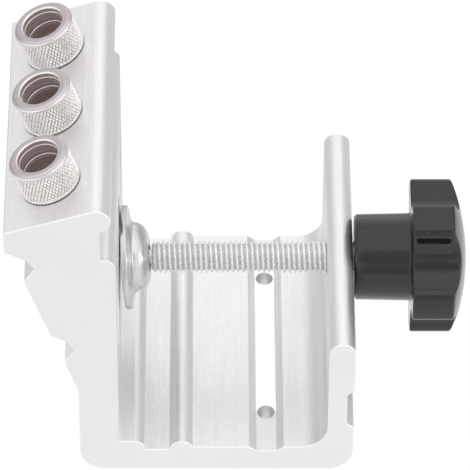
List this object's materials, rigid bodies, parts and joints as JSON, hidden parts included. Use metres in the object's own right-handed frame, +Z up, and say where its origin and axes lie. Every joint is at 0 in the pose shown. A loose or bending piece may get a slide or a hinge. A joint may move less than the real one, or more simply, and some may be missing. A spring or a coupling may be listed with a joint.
{
  "type": "angled drilling jig with screw clamp",
  "caption": "Extruded aluminium drilling jig: sloping head with knurled drill bushes over a U-shaped jaw, screw clamp with star knob and swivel pad.",
  "frame": {"origin": "centre of the base's flat underside", "axes": "+X along the clamp screw towards the knob, +Y to the rear along the extrusion, +Z up"},
  "size_m": [0.1095, 0.0716, 0.0955],
  "materials": {
    "body": "satin",
    "bush": "knurled",
    "screw": "bright",
    "pad": "bright",
    "ring": "spring steel",
    "knob": "moulded",
    "strip": "matte"
  },
  "bodies": {
    "jig": {"jig_body": "body", "drill_bush_front": "bush", "drill_bush_middle": "bush", "drill_bush_rear": "bush", "label_strip": "strip"},
    "carriage": {"pad_snap_ring": "ring"},
    "screw": {"clamp_spindle": "screw", "knob": "knob"},
    "pad": {"swivel_pad": "pad"}
  },
  "joints": [
    {"name": "clamp_slide", "type": "slide", "parent": "jig", "child": "carriage", "axis": [1, 0, 0], "range_m": [0, 0.04]},
    {"name": "screw_spin", "type": "hinge", "parent": "carriage", "child": "screw", "pos_m": [-0.01926, 0, 0.037], "axis": [1, 0, 0], "range_deg": [0, 11520]},
    {"name": "pad_tilt", "type": "hinge", "parent": "carriage", "child": "pad", "pos_m": [-0.01926, 0, 0.037], "axis": [0, 1, 0], "range_deg": [0, 8.4]}
  ],
  "couplings": [
    {"joint": "screw_spin", "follows": "clamp_slide", "rad_per_m": 5026.5}
  ]
}
